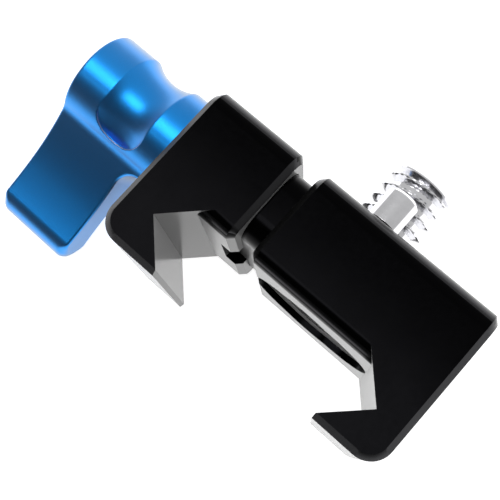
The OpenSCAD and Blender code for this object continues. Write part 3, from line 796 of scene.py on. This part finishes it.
def studio_world():
    """A bright, even studio: darker overhead and on the hooks' side, lighter on the stud's side."""
    world = bpy.data.worlds.new("studio")
    bpy.context.scene.world = world
    world.use_nodes = True
    nodes, links = world.node_tree.nodes, world.node_tree.links
    back = nodes["Background"]
    way = nodes.new("ShaderNodeTexCoord")
    split = nodes.new("ShaderNodeSeparateXYZ")
    links.new(way.outputs["Generated"], split.inputs[0])

    def ranged(value, start, end, low, high):
        node = nodes.new("ShaderNodeMapRange")
        node.interpolation_type = "SMOOTHSTEP"
        for name, number in (("From Min", start), ("From Max", end), ("To Min", low), ("To Max", high)):
            node.inputs[name].default_value = number
        links.new(value, node.inputs["Value"])
        return node.outputs["Result"]

    def combined(operation, a, b):
        node = nodes.new("ShaderNodeMath")
        node.operation = operation
        links.new(a, node.inputs[0])
        links.new(b, node.inputs[1])
        return node.outputs[0]

    side = ranged(split.outputs["Y"], -0.35, 0.45, 0.07, 0.66)
    low = ranged(split.outputs["Z"], 0.22, -0.1, 0, 1)
    light = combined("MAXIMUM", side, low)
    seen = nodes.new("ShaderNodeLightPath").outputs["Is Camera Ray"]
    links.new(combined("MAXIMUM", light, seen), back.inputs["Strength"])
    back.inputs["Color"].default_value = (1, 1, 1, 1)


def floor_finish():
    """A white floor that shows white and keeps the shadow."""
    material = bpy.data.materials.new("studio_floor")
    material.use_nodes = True
    nodes, links = material.node_tree.nodes, material.node_tree.links
    nodes.remove(nodes["Principled BSDF"])
    matt = nodes.new("ShaderNodeBsdfDiffuse")
    matt.inputs["Color"].default_value = (0.85, 0.85, 0.85, 1)
    glow = nodes.new("ShaderNodeEmission")
    path = nodes.new("ShaderNodeLightPath")
    strength = None
    for name, share in (("Is Camera Ray", 0.92), ("Is Glossy Ray", 1.0), ("Is Transmission Ray", 1.0)):
        node = nodes.new("ShaderNodeMath")
        node.operation = "MULTIPLY_ADD"
        node.inputs[1].default_value = share
        node.inputs[2].default_value = 0
        links.new(path.outputs[name], node.inputs[0])
        if strength:
            links.new(strength, node.inputs[2])
        strength = node.outputs[0]
    links.new(strength, glow.inputs["Strength"])
    both = nodes.new("ShaderNodeAddShader")
    links.new(matt.outputs[0], both.inputs[0])
    links.new(glow.outputs[0], both.inputs[1])
    links.new(both.outputs[0], nodes["Material Output"].inputs["Surface"])
    return material


def soft_box(name, place, width, depth, power):
    """A rectangular soft box above the clamp, its width along the screw, that faces the clamp."""
    lamp = bpy.data.lights.new(name, "AREA")
    lamp.shape, lamp.size, lamp.size_y, lamp.energy = "RECTANGLE", width, depth, power
    back = Vector(place).normalized()
    across = Vector((0, 1, 0)).cross(back).normalized()
    holder = bpy.data.objects.new(name, lamp)
    turn = Matrix((across, back.cross(across), back)).transposed().to_4x4()
    holder.matrix_world = Matrix.Translation(place) @ turn
    bpy.context.scene.collection.objects.link(holder)


class CLAMP_OT_stage(bpy.types.Operator):
    """Set up the floor, the studio light and the camera"""

    bl_idname = "clamp.stage"
    bl_label = "Stage"

    def execute(self, context):
        scene = context.scene
        scene.view_settings.view_transform = "Standard"
        mesh = bpy.data.meshes.new("floor")
        low = CAD_BOX[0].z
        mesh.from_pydata([(-1, -1, low), (1, -1, low), (1, 1, low), (-1, 1, low)], [], [(0, 1, 2, 3)])
        mesh.materials.append(floor_finish())
        floor = bpy.data.objects.new("floor", mesh)
        scene.collection.objects.link(floor)
        studio_world()
        soft_box("key", (-0.07, -0.015, 0.31), 0.28, 0.12, 0.42)
        camera = bpy.data.objects.new("camera", bpy.data.cameras.new("camera"))
        camera.data.lens, camera.data.sensor_width = 64.2, 36
        camera.data.clip_start, camera.data.clip_end = 0.005, 10
        right, up = Vector((0.74436, 0.66517, -0.05901)), Vector((-0.64117, 0.7366, 0.21523))
        turn = Matrix((right, up, right.cross(up))).transposed().to_4x4()
        camera.matrix_world = Matrix.Translation(at(25.03, -13.32, 79.96)) @ turn
        scene.collection.objects.link(camera)
        scene.camera = camera
        return {"FINISHED"}


STEPS = (CLAMP_OT_jaws, CLAMP_OT_lever, CLAMP_OT_stud, CLAMP_OT_screw, CLAMP_OT_springs, CLAMP_OT_small_parts,
         CLAMP_OT_stage)


class CLAMP_PT_panel(bpy.types.Panel):
    """Lists the clamp's steps in the 3D view's sidebar"""

    bl_idname = "CLAMP_PT_panel"
    bl_label = "Rail clamp"
    bl_space_type = "VIEW_3D"
    bl_region_type = "UI"
    bl_category = "Rail clamp"

    def draw(self, context):
        for step in STEPS:
            self.layout.operator(step.bl_idname)
        for group in (context.scene.clamp_finish, context.scene.clamp_lever, context.scene.clamp_threads):
            box = self.layout.box()
            for name in group.bl_rna.properties.keys():
                if name not in ("rna_type", "name"):
                    box.prop(group, name)


GROUPS = {"clamp_finish": FinishSettings, "clamp_lever": LeverSettings, "clamp_threads": ThreadSettings}


def register():
    for cls in (*GROUPS.values(), *STEPS, CLAMP_PT_panel):
        bpy.utils.register_class(cls)
    for name, group in GROUPS.items():
        setattr(bpy.types.Scene, name, PointerProperty(type=group))


def unregister():
    for name in GROUPS:
        delattr(bpy.types.Scene, name)
    for cls in reversed((*GROUPS.values(), *STEPS, CLAMP_PT_panel)):
        bpy.utils.unregister_class(cls)


def main():
    register()
    for step in STEPS:
        group, name = step.bl_idname.split(".")
        if getattr(getattr(bpy.ops, group), name)() != {"FINISHED"}:
            raise RuntimeError(step.bl_label + " wasn't finished")


if __name__ == "__main__":
    main()
